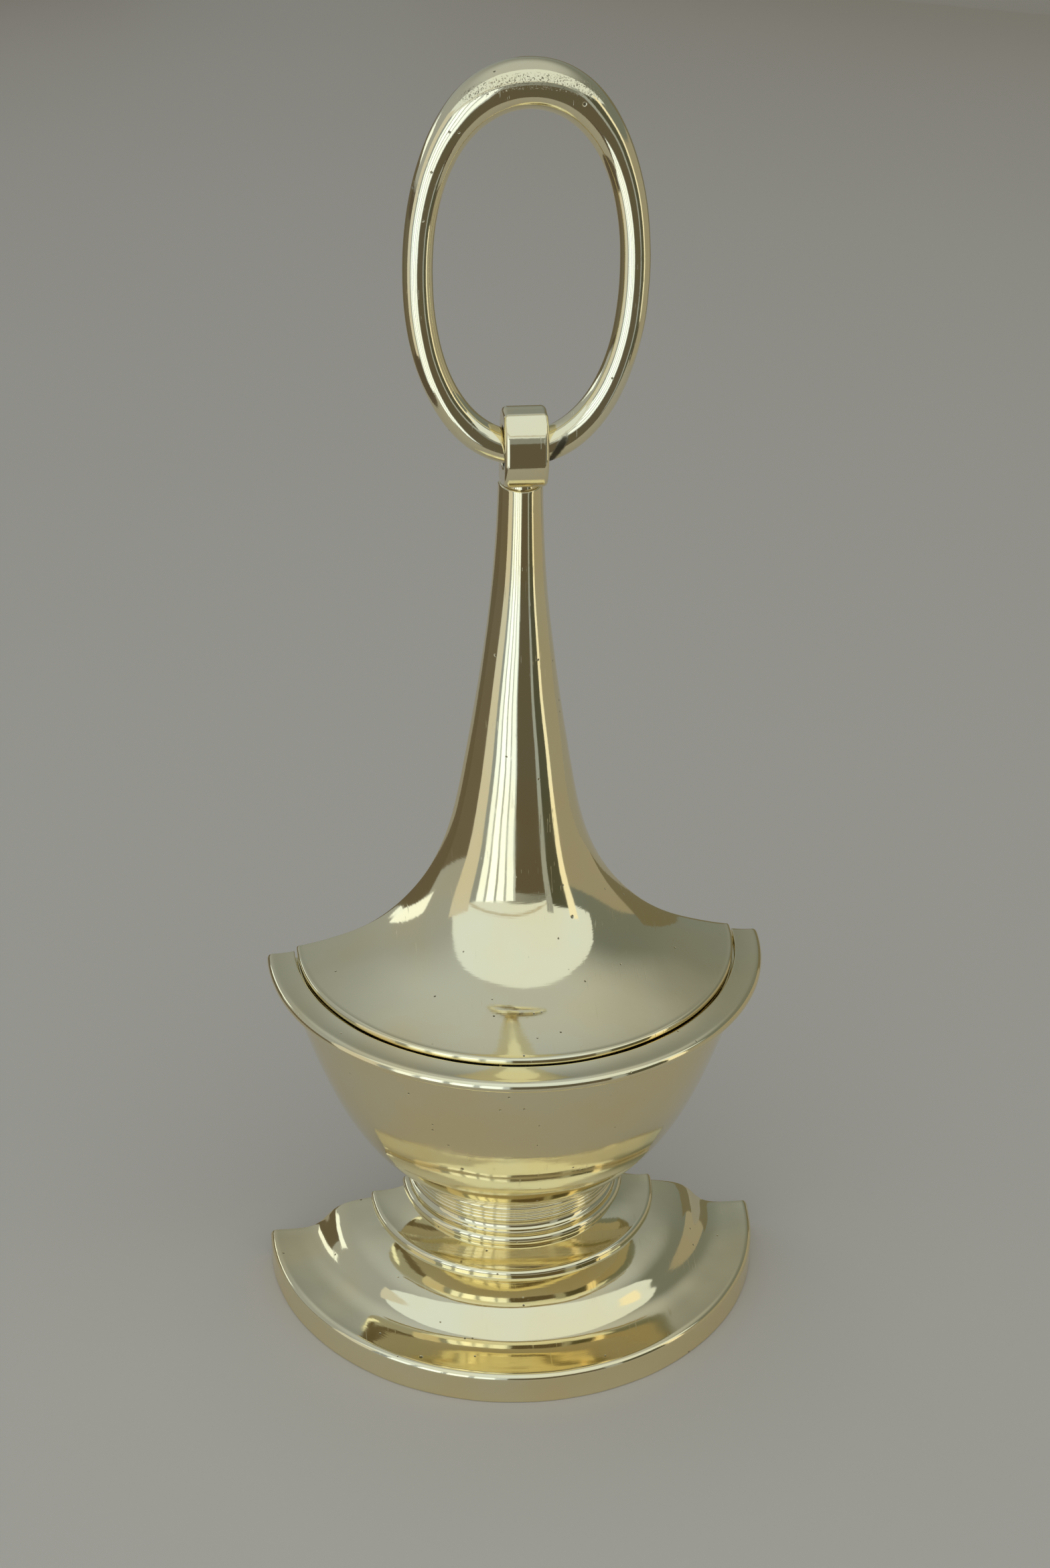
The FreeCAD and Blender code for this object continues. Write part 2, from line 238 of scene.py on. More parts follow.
def back_face(vertices, loop):
    """Triangles that fill a closed loop of vertices in the flat back."""
    flat = [Vector((vertices[k][0], vertices[k][2])) for k in loop]
    border = [(k, (k + 1) % len(loop)) for k in range(len(loop))]
    places, _, triangles, origins, _, _ = geometry.delaunay_2d_cdt(flat, border, [], 1, 1e-7)
    return [[int(loop[origins[k][0]]) for k in triangle]
            for triangle in triangles if all(origins[k] for k in triangle)]


def evaluated(obj):
    """Apply obj's modifiers to its mesh."""
    graph = bpy.context.evaluated_depsgraph_get()
    mesh = bpy.data.meshes.new_from_object(obj.evaluated_get(graph))
    obj.modifiers.clear()
    obj.data = mesh
    return obj


def boolean(obj, other, operation):
    modifier = obj.modifiers.new(operation, "BOOLEAN")
    modifier.object, modifier.operation, modifier.solver = other, operation, "EXACT"
    evaluated(obj)
    bpy.data.objects.remove(other)
    return obj


def weighted(obj, sharp_degrees=35.0):
    """Shade flat faces flat and rounded edges round, as on a machined block."""
    obj.data.shade_smooth()
    obj.data.set_sharp_from_angle(angle=math.radians(sharp_degrees))
    modifier = obj.modifiers.new("normals", "WEIGHTED_NORMAL")
    modifier.keep_sharp = True
    return obj


def move_points(obj, shift):
    """Move each vertex along its normal by shift(position in mm), in mm."""
    normals = [v.normal.copy() for v in obj.data.vertices]
    for vertex, normal in zip(obj.data.vertices, normals):
        vertex.co += normal * (shift(vertex.co / MM) * MM)
    obj.data.update()


def hand_finish(obj, amount, wavelength, seed):
    """The slight unevenness that filing and buffing leave; the flat back and its edge stay put."""
    def shift(p):
        share = min(max((BACK_Y - p.y - EDGE_BREAK) / 4, 0), 1)
        return share * amount * noise.noise(p / wavelength + Vector((seed, 0, 0)))
    move_points(obj, shift)


def write_tarnish_and_painted_shade(obj, amounts):
    # The attribute holds tarnish and painted shade together.
    obj.data.attributes.new("tarnish_and_painted_shade", "FLOAT", "POINT").data.foreach_set("value", amounts)


def darken_with_tarnish_and_shade(obj, spots):
    """Write the darkening of tarnish and painted shade in crevices, joints and at edges: spots are (radius,
    height, reach, strength), all round the axis.
    """
    places = np.zeros(len(obj.data.vertices) * 3)
    obj.data.vertices.foreach_get("co", places)
    places = places.reshape(-1, 3) / MM
    radius = np.hypot(places[:, 0], places[:, 1] - BACK_Y)
    amount = np.zeros(len(places))
    for spot_radius, height, reach, strength in spots:
        distance = np.hypot(radius - spot_radius, places[:, 2] - height)
        amount = np.maximum(amount, strength * np.exp(-(distance / reach) ** 2))
    write_tarnish_and_painted_shade(obj, amount.astype(np.float32))


# Castings

def make_foot():
    nose = (80.0, 8.3)
    points = outline(
        line((80.0, 0.0), nose, 1.5), arc(nose, (79.4, 9.9), (77.8, 10.5)),
        curve([(77.8, 10.5), (72.0, 10.5), (67.5, 10.9), (64.6, 12.0), (61.8, 14.5), (59.0, 17.5),
               (55.2, 19.7), (51.0, 20.8), (46.6, 21.5)], 0.6),
        line((46.6, 21.5), (46.6, 22.6)), arc((46.6, 22.6), (46.1, 23.7), (45.0, 24.1)),
        arc((45.0, 24.1), (39.6, 24.5), (35.0, 26.0), 1.0),
        arc((35.0, 26.0), (36.2, 27.8), (34.2, NECK_Z)),
        line((34.2, NECK_Z), (0, NECK_Z)), line((0, NECK_Z), (0, 18.2)),
        line((0, 18.2), (43.0, 18.2)), line((43.0, 18.2), (56.5, 14.2)), line((56.5, 14.2), (65.5, 8.0)),
        line((65.5, 8.0), (76.5, 6.2)), line((76.5, 6.2), (76.5, 0.0)))
    foot = half_turn("foot_casting", softened(points))
    hand_finish(foot, 0.16, 13.0, 3.0)
    # Tarnish with painted shade in the step and the neck, and painted contact shade along the foot's edge on
    # the floor.
    darken_with_tarnish_and_shade(foot, [(46.8, 21.4, 0.6, 0.42), (35.0, 26.0, 0.6, 0.4), (34.4, NECK_Z, 0.5, 0.42),
                 (80.0, 0.0, 1.0, 0.4)])
    return foot


def reeds(radius, bottom, count, pitch, height):
    points = []
    for k in range(count):
        start = bottom + k * pitch
        points += arc((radius, start), (radius + height, start + pitch / 2), (radius, start + pitch), 14.0)
    return points


BOWL_INSIDE = [(28.5, 41.5), (39.8, 50.2), (49.3, 62.4), (57.3, 78.3), (63.4, 95.5), (67.3, 111.0)]


def make_bowl():
    points = outline(
        line((34.2, NECK_Z), (34.1, 30.2)), arc((34.1, 30.2), (32.6, 32.2), (34.0, 34.4)),
        arc((34.0, 34.4), (34.6, 35.1), (34.0, 35.8), 14.0),
        reeds(34.0, 35.8, 3, 1.15, 0.45), line((34.0, 39.25), (34.9, 39.4)),
        arc((34.9, 39.4), (35.7, 40.2), (35.2, BOWL_Z), 14.0),
        curve([(35.2, BOWL_Z), (43.5, 47.8), (52.8, 60.0), (60.8, 76.5), (67.0, 94.5), (73.0, RIM_Z)], 1.1),
        line((73.0, RIM_Z), (76.7, RIM_Z)), arc((76.7, RIM_Z), (77.6, 116.9), (75.9, 118.7)),
        arc((75.9, 118.7), (72.4, 118.8), (69.0, 119.3), 1.5),
        line((69.0, 119.3), (69.0, SEAT_Z)), line((69.0, SEAT_Z), (63.0, SEAT_Z)),
        line((63.0, SEAT_Z), (63.0, 113.4)), line((63.0, 113.4), (67.3, 111.0)),
        curve(BOWL_INSIDE[::-1], 3.0), line((28.5, 41.5), (28.5, 34.0)), line((28.5, 34.0), (0, 34.0)),
        line((0, 34.0), (0, NECK_Z)), line((0, NECK_Z), (34.2, NECK_Z)))
    bowl = half_turn("bowl_casting", softened(points))
    hand_finish(bowl, 0.14, 16.0, 7.0)
    # Tarnish with painted shade in the lid's seat, under the rim, in the reeds and at the neck.
    darken_with_tarnish_and_shade(bowl, [(68.8, 117.8, 1.5, 0.5), (73.2, RIM_Z, 1.0, 0.4), (34.0, 34.4, 0.5, 0.5),
                 (34.0, 35.8, 0.4, 0.45), (34.0, 36.95, 0.4, 0.4), (34.0, 38.1, 0.4, 0.4),
                 (34.1, 39.3, 0.4, 0.5), (35.2, BOWL_Z, 0.6, 0.5), (34.2, NECK_Z, 0.5, 0.4)])
    return bowl


STEM = curve([(67.2, 121.2), (56.8, 123.7), (46.5, 127.6), (35.4, 136.0), (27.0, 147.0), (21.4, 160.0),
              (16.9, 180.0), (12.4, 208.0), (8.4, 240.0), (6.5, STEM_TOP_Z)], 1.0)


def stem_deepening(height):
    """How many times deeper than wide the stem is at a height."""
    share = min(max((height - STEM_SPLIT_Z) / (STEM_TOP_Z - STEM_SPLIT_Z), 0), 1)
    width = float(np.interp(height, [z for _, z in STEM], [r for r, _ in STEM]))
    return 1 + STEM_EXTRA_DEPTH * share * share * (3 - 2 * share) / width


def make_cover():
    points = outline(
        line((62.0, SEAT_Z), (68.4, SEAT_Z)), line((68.4, SEAT_Z), (68.4, 120.2)),
        arc((68.4, 120.2), (68.1, 120.9), (67.2, 121.2)), STEM,
        line((6.5, STEM_TOP_Z), (0, STEM_TOP_Z)), line((0, STEM_TOP_Z), (0, 158.0)),
        line((0, 158.0), (17.0, 158.0)),
        curve([(17.0, 158.0), (23.3, 146.0), (31.5, 134.5), (43.0, 124.6), (52.0, 120.7),
               (62.0, 118.0)], 2.5),
        line((62.0, 118.0), (62.0, SEAT_Z)))
    cover = half_turn("cover_casting", softened(points), stem_deepening)
    hand_finish(cover, 0.2, 21.0, 11.0)
    # Tarnish with painted shade in the lid's seat and where the stem meets the eye.
    darken_with_tarnish_and_shade(cover, [(68.3, 119.0, 1.2, 0.32), (6.6, STEM_TOP_Z, 0.7, 0.45)])
    return cover


# Eye and ring

def extruded(name, side_view, half_width):
    """An outline of (in front of the back, height) extruded across x."""
    count = len(side_view)
    vertices = [(x, BACK_Y - inset, z) for x in (-half_width, half_width) for inset, z in side_view]
    sides = [[k, (k + 1) % count, count + (k + 1) % count, count + k] for k in range(count)]
    return new_object(name, vertices, [*sides, list(range(count)), list(range(count, 2 * count))[::-1]])


def bevelled(obj, width, chosen, segments=5):
    """Round the edges whose two ends chosen(a, b) accepts, in mm."""
    work = bmesh.new()
    work.from_mesh(obj.data)
    edges = [e for e in work.edges if chosen(e.verts[0].co / MM, e.verts[1].co / MM)]
    bmesh.ops.bevel(work, geom=edges, offset=width * MM, segments=segments, profile=0.5, affect="EDGES",
                    clamp_overlap=True)
    work.to_mesh(obj.data)
    work.free()
    return obj


def stacked(name, rows, *settings):
    """A capped tube through rows, which are closed loops of equally many points."""
    around = len(rows[0])
    faces = []
    for r in range(len(rows) - 1):
        for k in range(around):
            n = (k + 1) % around
            faces.append([r * around + k, r * around + n, (r + 1) * around + n, (r + 1) * around + k])
    vertices = [point for row in rows for point in row]
    caps = [list(range(around)), list(range(len(vertices) - around, len(vertices)))[::-1]]
    return new_object(name, vertices, faces, caps, *settings)


def make_neck():
    """The short waist between the stem and the eye, of half-ellipse sections."""
    angles = [math.pi * k / 48 for k in range(49)]
    sections = [(6.1, 8.7, 0.15), (5.85, 8.4, 0.4), (5.8, 8.3, 0.8), (5.9, 8.4, 1.8)]
    return stacked("eye_neck", [
        [(width * math.cos(a), BACK_Y - depth * math.sin(a), STEM_TOP_Z + rise) for a in angles]
        for width, depth, rise in sections])


def lathe_x(name, points, inset, height, steps=96):
    """Turn (x, radius) points about the line through (inset, height) that runs along x."""
    vertices = []
    for k in range(steps):
        angle = 2 * math.pi * k / steps
        for x, radius in points:
            vertices.append((x, BACK_Y - inset + radius * math.cos(angle),
                             height + radius * math.sin(angle)))
    count = len(points)
    faces = []
    for k in range(steps):
        n = (k + 1) % steps
        for i in range(count - 1):
            faces.append([k * count + i, k * count + i + 1, n * count + i + 1, n * count + i])
    caps = [[k * count for k in range(steps)], [k * count + count - 1 for k in range(steps)][::-1]]
    return new_object(name, vertices, faces, caps)


def make_eye():
    half, bottom, crown = 6.25, 276.4, 299.9
    side_view = outline(
        line((0, bottom), (0, 293.2)), arc((0, 293.2), (2.2, 297.9), (7.5, crown), 5.0),
        arc((7.5, crown), (9.4, 299.65), (11.3, 299.6), 1.0),
        arc((11.3, 299.6), (12.0, 299.4), (12.48, 298.95), 12.0),
        arc((12.48, 298.95), (16.63, 290.2), (14.88, 280.2), 2.0),
        arc((14.88, 280.2), (13.3, 278.37), (10.43, 277.47), 6.0),
        line((10.43, 277.47), (8.0, bottom)), line((8.0, bottom), (0, bottom)))
    eye = extruded("eye_casting", side_view, half)
    on_side = lambda a, b: abs(a.x - b.x) < 1e-3
    above_neck = lambda a, b: min(a.y, b.y) < BACK_Y - 0.01 and max(a.z, b.z) > bottom + 0.1
    bevelled(eye, 1.4, lambda a, b: on_side(a, b) and above_neck(a, b))
    boolean(eye, make_neck(), "UNION")
    wide = BORE_RADIUS + 1.2
    mouth = arc((-half - 0.05, wide), (-half + 0.7, BORE_RADIUS + 0.3), (-4.3, BORE_RADIUS), 10.0)
    funnel = [(-9.0, wide), *mouth, *[(-x, r) for x, r in mouth[::-1]], (9.0, wide)]
    boolean(eye, lathe_x("bore", funnel, PIVOT_INSET, PIVOT_Z), "DIFFERENCE")
    weighted(eye)
    stain_and_shade_eye(eye)
    return eye


def stain_and_shade_eye(eye):
    """Tarnish and painted shade in the bore, and painted shade where the eye meets the stem."""
    amounts = []
    for vertex in eye.data.vertices:
        p = vertex.co / MM
        bore = math.hypot(BACK_Y - p.y - PIVOT_INSET, p.z - PIVOT_Z)
        # seat: painted shade under the eye where it meets the stem.
        seat = math.exp(-((p.z - STEM_TOP_Z - 0.3) / 0.5) ** 2)
        amounts.append(max(math.exp(-(max(bore - BORE_RADIUS, 0) / 0.8) ** 2), 0.3 * seat))
    write_tarnish_and_painted_shade(eye, amounts)


RING_HALF_WIDTH, RING_HALF_HEIGHT = 29.8, 51.3
RING_FULLNESS = 2.14        # exponent of the ring's oval; 2 is an ellipse
RING_CENTRE_Z = PIVOT_Z - 0.4 + RING_HALF_HEIGHT


def ring_bar(top):
    """Centre, direction and radius of the bar at an angle from the ring's top."""
    s, c, power = math.sin(top), math.cos(top), 2 / RING_FULLNESS
    centre = Vector((RING_HALF_WIDTH * math.copysign(abs(s) ** power, s), BACK_Y - PIVOT_INSET,
                     RING_CENTRE_Z + RING_HALF_HEIGHT * math.copysign(abs(c) ** power, c)))
    along = Vector((math.copysign(abs(c) ** (2 - power), c) / RING_HALF_HEIGHT, 0,
                    -math.copysign(abs(s) ** (2 - power), s) / RING_HALF_WIDTH)).normalized()
    from_top = min(top, 2 * math.pi - top)
    held = math.exp(-(from_top / math.radians(44)) ** 2.6)
    hung = math.exp(-((math.pi - from_top) / math.radians(40)) ** 3)
    return centre, along, 4.2 + 2.6 * held + 0.65 * hung


def make_ring():
    """A round bar bent to an oval, thicker at the top where it is held."""
    around, across = 360, 56
    vertices, stains_and_shade = [], []
    front = Vector((0, -1, 0))
    for k in range(around):
        centre, along, reach = ring_bar(2 * math.pi * k / around)
        outward = front.cross(along)
        for i in range(across):
            turn = 2 * math.pi * i / across
            direction = outward * math.cos(turn) + front * math.sin(turn)
            place = centre + direction * reach
            vertices.append(place + direction * 0.07 * noise.noise(place / 9.0))
            stains_and_shade.append(ring_stain_and_shade(place))
    faces = []
    for k in range(around):
        for i in range(across):
            n, m = (k + 1) % around, (i + 1) % across
            faces.append([k * across + i, k * across + m, n * across + m, n * across + i])
    ring = new_object("ring_handle_bar", vertices, faces)
    write_tarnish_and_painted_shade(ring, stains_and_shade)
    return ring


def ring_stain_and_shade(place):
    """Painted shade and tarnish on the bar inside the eye, and tarnish in a jagged patch that climbs from it
    on the right.
    """
    if place.z > PIVOT_Z + 14:
        return 0.0
    # in_eye: painted shade with tarnish where the bar passes inside the eye.
    in_eye = 0.8 * math.exp(-(max(abs(place.x) - 5.6, 0) / 0.9) ** 2)
    climb = place.z - PIVOT_Z + 3.2 - 1.6 * (place.x - 6.8)
    fade = min(max((place.x - 5.8) / 0.8, 0), 1) * min(max((14.0 - place.x) / 4, 0), 1)
    on_front = place.y < BACK_Y - PIVOT_INSET
    return max(in_eye, 1.25 * fade * math.exp(-(climb / 3.0) ** 2) if on_front else 0.0)


# Ballast and iron tie

def make_lead(name, node, seed):
    """The CAD fill, remeshed so that its open surfaces can carry the ripples of poured lead."""
    lead = bpy.data.objects.new(name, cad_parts[node].data.copy())
    bpy.context.scene.collection.objects.link(lead)
    weld = lead.modifiers.new("weld", "WELD")
    weld.merge_threshold = 1e-6
    remesh = lead.modifiers.new("remesh", "REMESH")
    remesh.mode, remesh.voxel_size = "VOXEL", 0.9 * MM
    smooth = lead.modifiers.new("smooth", "SMOOTH")
    smooth.factor, smooth.iterations = 0.5, 3
    evaluated(lead)
    lead.data.materials.clear()

    def shift(p):
        low, fine = noise.noise(p / 17.0 + Vector((seed, 0, 0))), noise.noise(p / 4.5)
        return -0.35 - 0.45 * low - 0.18 * fine
    facing = {v.index for v in lead.data.vertices if v.normal.y > 0.5 or v.normal.z > 0.8}
    normals = [v.normal.copy() for v in lead.data.vertices]
    for vertex, normal in zip(lead.data.vertices, normals):
        amount = shift(vertex.co / MM) if vertex.index in facing else -0.05
        vertex.co += normal * (amount * MM)
    lead.data.update()
    lead.data.shade_smooth()
    return lead


def make_tie_rod():
    """The rod, with a screw thread cut on its lower end."""
    bottom, top, around = 7.5, 181.0, 40
    pitch, thread_top, depth = 1.25, 22.0, 0.6
    heights = [bottom + 0.125 * k for k in range(int((thread_top + 1 - bottom) / 0.125))]
    heights += list(np.linspace(heights[-1] + 4, top, 36))
    rows = []
    for z in heights:
        rows.append([])
        for k in range(around):
            turn = k / around
            phase = ((z - bottom) / pitch - turn) % 1.0
            fade = min(max((thread_top - z) / 1.5, 0), 1)
            radius = TIE_RADIUS - 0.05 - fade * depth * (1 - abs(2 * phase - 1)) ** 0.8
            radius -= 0.6 * max(0, 1 - (z - bottom) / 0.6) + 0.6 * max(0, 1 - (top - z) / 0.6)
            radius += 0.0 if z < thread_top else 0.05 * noise.noise(Vector((k * 0.5, z / 6, 0)))
            angle = 2 * math.pi * turn
            rows[-1].append((radius * math.cos(angle), BACK_Y - TIE_INSET - radius * math.sin(angle), z))
    return stacked("tie_rod_bar", rows, 60.0)


def ring_block(name, outer, bore, levels, around=96):
    """A block with an upright bore: outer(angle) is its reach, and levels are (drawn in by, height)."""
    vertices = []
    section = [(inset, z, True) for inset, z in levels] + [(inset, z, False) for inset, z in levels[::-1]]
    for k in range(around):
        angle = 2 * math.pi * k / around
        for inset, z, is_outer in section:
            radius = outer(angle) - inset if is_outer else bore + 0.4 * inset
            vertices.append((radius * math.cos(angle), BACK_Y - TIE_INSET - radius * math.sin(angle), z))
    count = len(section)
    faces = [[k * count + i, k * count + (i + 1) % count,
              (k + 1) % around * count + (i + 1) % count, (k + 1) % around * count + i]
             for k in range(around) for i in range(count)]
    return new_object(name, vertices, faces)


def make_tie_washer():
    levels = [(0.3, 16.62), (0.08, 16.7), (0.0, 16.9), (0.0, 17.9), (0.08, 18.1), (0.3, 18.18)]
    return ring_block("tie_washer_plate", lambda angle: 7.15 + 0.05 * math.cos(3 * angle), TIE_BORE, levels)


def make_tie_nut():
    def square(angle):
        """A square with blunted corners, 12.5 across."""
        c, s = abs(math.cos(angle)), abs(math.sin(angle))
        return 6.25 / (c**9 + s**9) ** (1 / 9)
    levels = [(1.0, 10.22), (0.45, 10.4), (0.1, 10.8), (0.0, 11.3), (0.0, 15.5), (0.1, 16.1),
              (0.5, 16.45), (0.9, 16.58)]
    return ring_block("tie_nut_block", square, TIE_BORE, levels)


# Materials

class Graph:
    """Short calls for adding shader nodes and joining them."""

    def __init__(self, tree):
        self.tree = tree

    def add(self, kind, inputs=None, **settings):
        node = self.tree.nodes.new("ShaderNode" + kind)
        for key, value in settings.items():
            setattr(node, key, value)
        for key, value in (inputs or {}).items():
            self.join(value, node.inputs[key])
        return node

    def join(self, value, socket):
        if isinstance(value, bpy.types.NodeSocket):
            self.tree.links.new(value, socket)
        else:
            socket.default_value = value

    def math(self, operation, *values, clamp=False):
        node = self.add("Math", dict(enumerate(values)), operation=operation, use_clamp=clamp)
        return node.outputs[0]

    def noise(self, vector, scale, detail=2.0, roughness=0.5, distortion=0.0):
        inputs = {"Vector": vector, "Scale": scale, "Detail": detail, "Roughness": roughness,
                  "Distortion": distortion}
        return self.add("TexNoise", inputs).outputs["Fac"]

    def window(self, value, low, high):
        """0 below low, 1 above high, smooth between."""
        node = self.add("MapRange", {"Value": value, "From Min": low, "From Max": high},
                        interpolation_type="SMOOTHSTEP")
        return node.outputs["Result"]

    def between(self, factor, low, high):
        """A number from low at factor 0 to high at factor 1."""
        return self.add("MapRange", {"Value": factor, "To Min": low, "To Max": high}).outputs["Result"]

    def blend(self, factor, first, second, mode="MIX"):
        node = self.add("Mix", data_type="RGBA", blend_type=mode)
        for value, socket in zip((factor, first, second), (node.inputs[0], node.inputs[6], node.inputs[7])):
            self.join(value, socket)
        return node.outputs[2]

    def bump(self, height, distance, normal=None):
        node = self.add("Bump", {"Height": height, "Distance": distance})
        if normal is not None:
            self.join(normal, node.inputs["Normal"])
        return node.outputs["Normal"]


def new_material(name):
    material = bpy.data.materials.new(name)
    material.use_nodes = True
    return material, Graph(material.node_tree), material.node_tree.nodes["Principled BSDF"]


def round_the_axis(graph, point):
    """Coordinates drawn out along the direction of turning: (turn, distance from the axis, height)."""
    split = graph.add("SeparateXYZ", {"Vector": point})
    inset = graph.math("SUBTRACT", split.outputs["Y"], BACK_Y * MM)
    across = graph.math("MULTIPLY", split.outputs["X"], split.outputs["X"])
    radius = graph.math("SQRT", graph.math("ADD", across, graph.math("MULTIPLY", inset, inset)))
    turn = graph.math("MULTIPLY", graph.math("ARCTAN2", inset, split.outputs["X"]), 0.0016)
    return graph.add("CombineXYZ", {"X": turn, "Y": radius, "Z": split.outputs["Z"]}).outputs["Vector"]


def pits(graph, point, scale, share, size):
    """1 inside scattered round pits: share of the cells have one, size across within its cell."""
    cells = graph.add("TexVoronoi", {"Vector": point, "Scale": scale, "Randomness": 1.0})
    lot = graph.add("SeparateColor", {"Color": cells.outputs["Color"]}).outputs["Red"]
    chosen = graph.math("GREATER_THAN", lot, 1 - share)
    hole = graph.window(cells.outputs["Distance"], size, size * 0.45)
    return graph.math("MULTIPLY", chosen, hole)


def scratches(graph, point, turn, density):
    """Thin broken lines in one direction."""
    mapped = graph.add("Mapping", {"Vector": point, "Rotation": turn, "Scale": (1.0, 0.02, 0.05)})
    lines = graph.noise(mapped.outputs["Vector"], 2600.0, 1.0)
    breaks = graph.noise(point, 90.0, 1.0)
    return graph.math("MULTIPLY", graph.window(lines, 1 - density, 1 - density + 0.05),
                      graph.window(breaks, 0.5, 0.62))


def polished_brass(name, colour, turned, worn_top=False):
    """Hand-polished cast brass: uneven tone, buffing lines, pits, scratches, and tarnish with painted shade
    in the crevices.
    """
    material, graph, shader = new_material(name)
    point = graph.add("TexCoord").outputs["Object"]
    tone = graph.noise(point, 22.0, 3.0)
    warmer = (colour[0] * 1.03, colour[1] * 0.97, colour[2] * 0.86, 1)
    base = graph.blend(graph.window(tone, 0.35, 0.65), colour, warmer)
    # The attribute read here darkens crevices and joints: partly real tarnish, partly painted shade.
    stained_and_shaded = graph.add("Attribute", attribute_name="tarnish_and_painted_shade").outputs["Fac"]
    ragged = graph.noise(point, 420.0, 4.0, 0.65)
    broad = graph.noise(point, 60.0, 2.0)
    stained_and_shaded = graph.math("MULTIPLY", stained_and_shaded, graph.between(broad, 0.45, 1.35))
    tarnish_and_painted_shade = graph.window(graph.math("ADD", stained_and_shaded, graph.between(ragged, -0.34, 0.34)), 0.35, 0.72)
    holes = graph.math("MAXIMUM", pits(graph, point, 140.0, 0.07, 0.10),
                       pits(graph, point, 420.0, 0.04, 0.17))
    if worn_top:
        holes = graph.math("MAXIMUM", holes, worn_band(graph, point))
    marks = graph.math("MAXIMUM", scratches(graph, point, (0.3, 0.9, 0.2), 0.30),
                       scratches(graph, point, (1.2, -0.5, 0.8), 0.29))
    # Dark brown for tarnish and painted shade in the crevices and joints.
    base = graph.blend(graph.math("MULTIPLY", tarnish_and_painted_shade, 0.92), base, (0.045, 0.034, 0.018, 1))
    base = graph.blend(graph.math("MULTIPLY", holes, 0.75), base, (0.10, 0.075, 0.035, 1))
    haze = graph.noise(point, 34.0, 4.0, 0.6)
    roughness = graph.between(graph.window(haze, 0.35, 0.75), 0.055, 0.115)
    roughness = graph.math("ADD", roughness, graph.math("MULTIPLY", marks, 0.10))
    roughness = graph.math("ADD", roughness, graph.math("MULTIPLY", tarnish_and_painted_shade, 0.38))
    roughness = graph.math("ADD", roughness, graph.math("MULTIPLY", holes, 0.3), clamp=True)
    fine_point = round_the_axis(graph, point) if turned else point
    buffing = graph.noise(fine_point, 1900.0, 2.0) if turned else graph.noise(point, 700.0, 2.0)
    normal = graph.bump(buffing, 0.000006)
    normal = graph.bump(graph.noise(point, 120.0, 3.0), 0.00003 if turned else 0.00004, normal)
    flaws = graph.math("ADD", graph.math("MULTIPLY", holes, -1.0), graph.math("MULTIPLY", marks, -0.05))
    normal = graph.bump(flaws, 0.00018, normal)
    graph.join(base, shader.inputs["Base Color"])
    graph.join(roughness, shader.inputs["Roughness"])
    graph.join(normal, shader.inputs["Normal"])
    shader.inputs["Metallic"].default_value = 1.0
    return material


def worn_band(graph, point):
    """The pitted, scuffed patch on the upper front of the ring, just above its middle line."""
    split = graph.add("SeparateXYZ", {"Vector": point})
    across = graph.math("DIVIDE", split.outputs["X"], 0.019)
    rise = graph.math("MULTIPLY", graph.math("MULTIPLY", across, across), 0.0052)
    line_z = graph.math("SUBTRACT", (RING_CENTRE_Z + RING_HALF_HEIGHT + 2.2) * MM, rise)
    off = graph.math("DIVIDE", graph.math("SUBTRACT", split.outputs["Z"], line_z), 0.0019)
    band = graph.math("POWER", 2.718, graph.math("MULTIPLY", graph.math("MULTIPLY", off, off), -1.0))
    ends = graph.window(graph.math("ABSOLUTE", across), 1.25, 0.7)
    middle_y = BACK_Y - PIVOT_INSET
    front = graph.window(split.outputs["Y"], (middle_y - 1) * MM, (middle_y - 4) * MM)
    crumbs = graph.window(graph.noise(point, 2300.0, 4.0, 0.75), 0.54, 0.62)
    amount = graph.math("MULTIPLY", graph.math("MULTIPLY", band, ends),
                        graph.math("MULTIPLY", front, crumbs))
    return graph.window(amount, 0.25, 0.7)


def poured_lead():
    material, graph, shader = new_material("poured_lead")
    point = graph.add("TexCoord").outputs["Object"]
    cloud = graph.noise(point, 55.0, 5.0, 0.6)
    bloom = graph.window(graph.noise(point, 160.0, 4.0, 0.7), 0.5, 0.68)
    base = graph.blend(cloud, (0.105, 0.108, 0.115, 1), (0.26, 0.265, 0.27, 1))
    base = graph.blend(graph.math("MULTIPLY", bloom, 0.35), base, (0.42, 0.42, 0.40, 1))
    graph.join(base, shader.inputs["Base Color"])
    graph.join(graph.between(cloud, 0.42, 0.68), shader.inputs["Roughness"])
    wrinkles = graph.noise(point, 260.0, 5.0, 0.65, 0.8)
    graph.join(graph.bump(wrinkles, 0.0005), shader.inputs["Normal"])
    shader.inputs["Metallic"].default_value = 0.75
    return material


def rusty_iron():
    material, graph, shader = new_material("wrought_iron")
    point = graph.add("TexCoord").outputs["Object"]
    rust = graph.window(graph.noise(point, 130.0, 5.0, 0.65), 0.48, 0.66)
    grain = graph.noise(point, 900.0, 3.0, 0.7)
    dark = graph.blend(grain, (0.035, 0.032, 0.030, 1), (0.085, 0.078, 0.070, 1))
    brown = graph.blend(grain, (0.115, 0.045, 0.018, 1), (0.23, 0.10, 0.045, 1))
    graph.join(graph.blend(rust, dark, brown), shader.inputs["Base Color"])
    graph.join(graph.between(rust, 0.42, 0.85), shader.inputs["Roughness"])
    graph.join(graph.between(rust, 0.85, 0.1), shader.inputs["Metallic"])
    graph.join(graph.bump(grain, 0.0002), shader.inputs["Normal"])
    return material


# Pieces on their bodies

def dress(obj, material, body, node):
    obj.data.materials.clear()
    obj.data.materials.append(material)
    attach(obj, body)
    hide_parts(node)


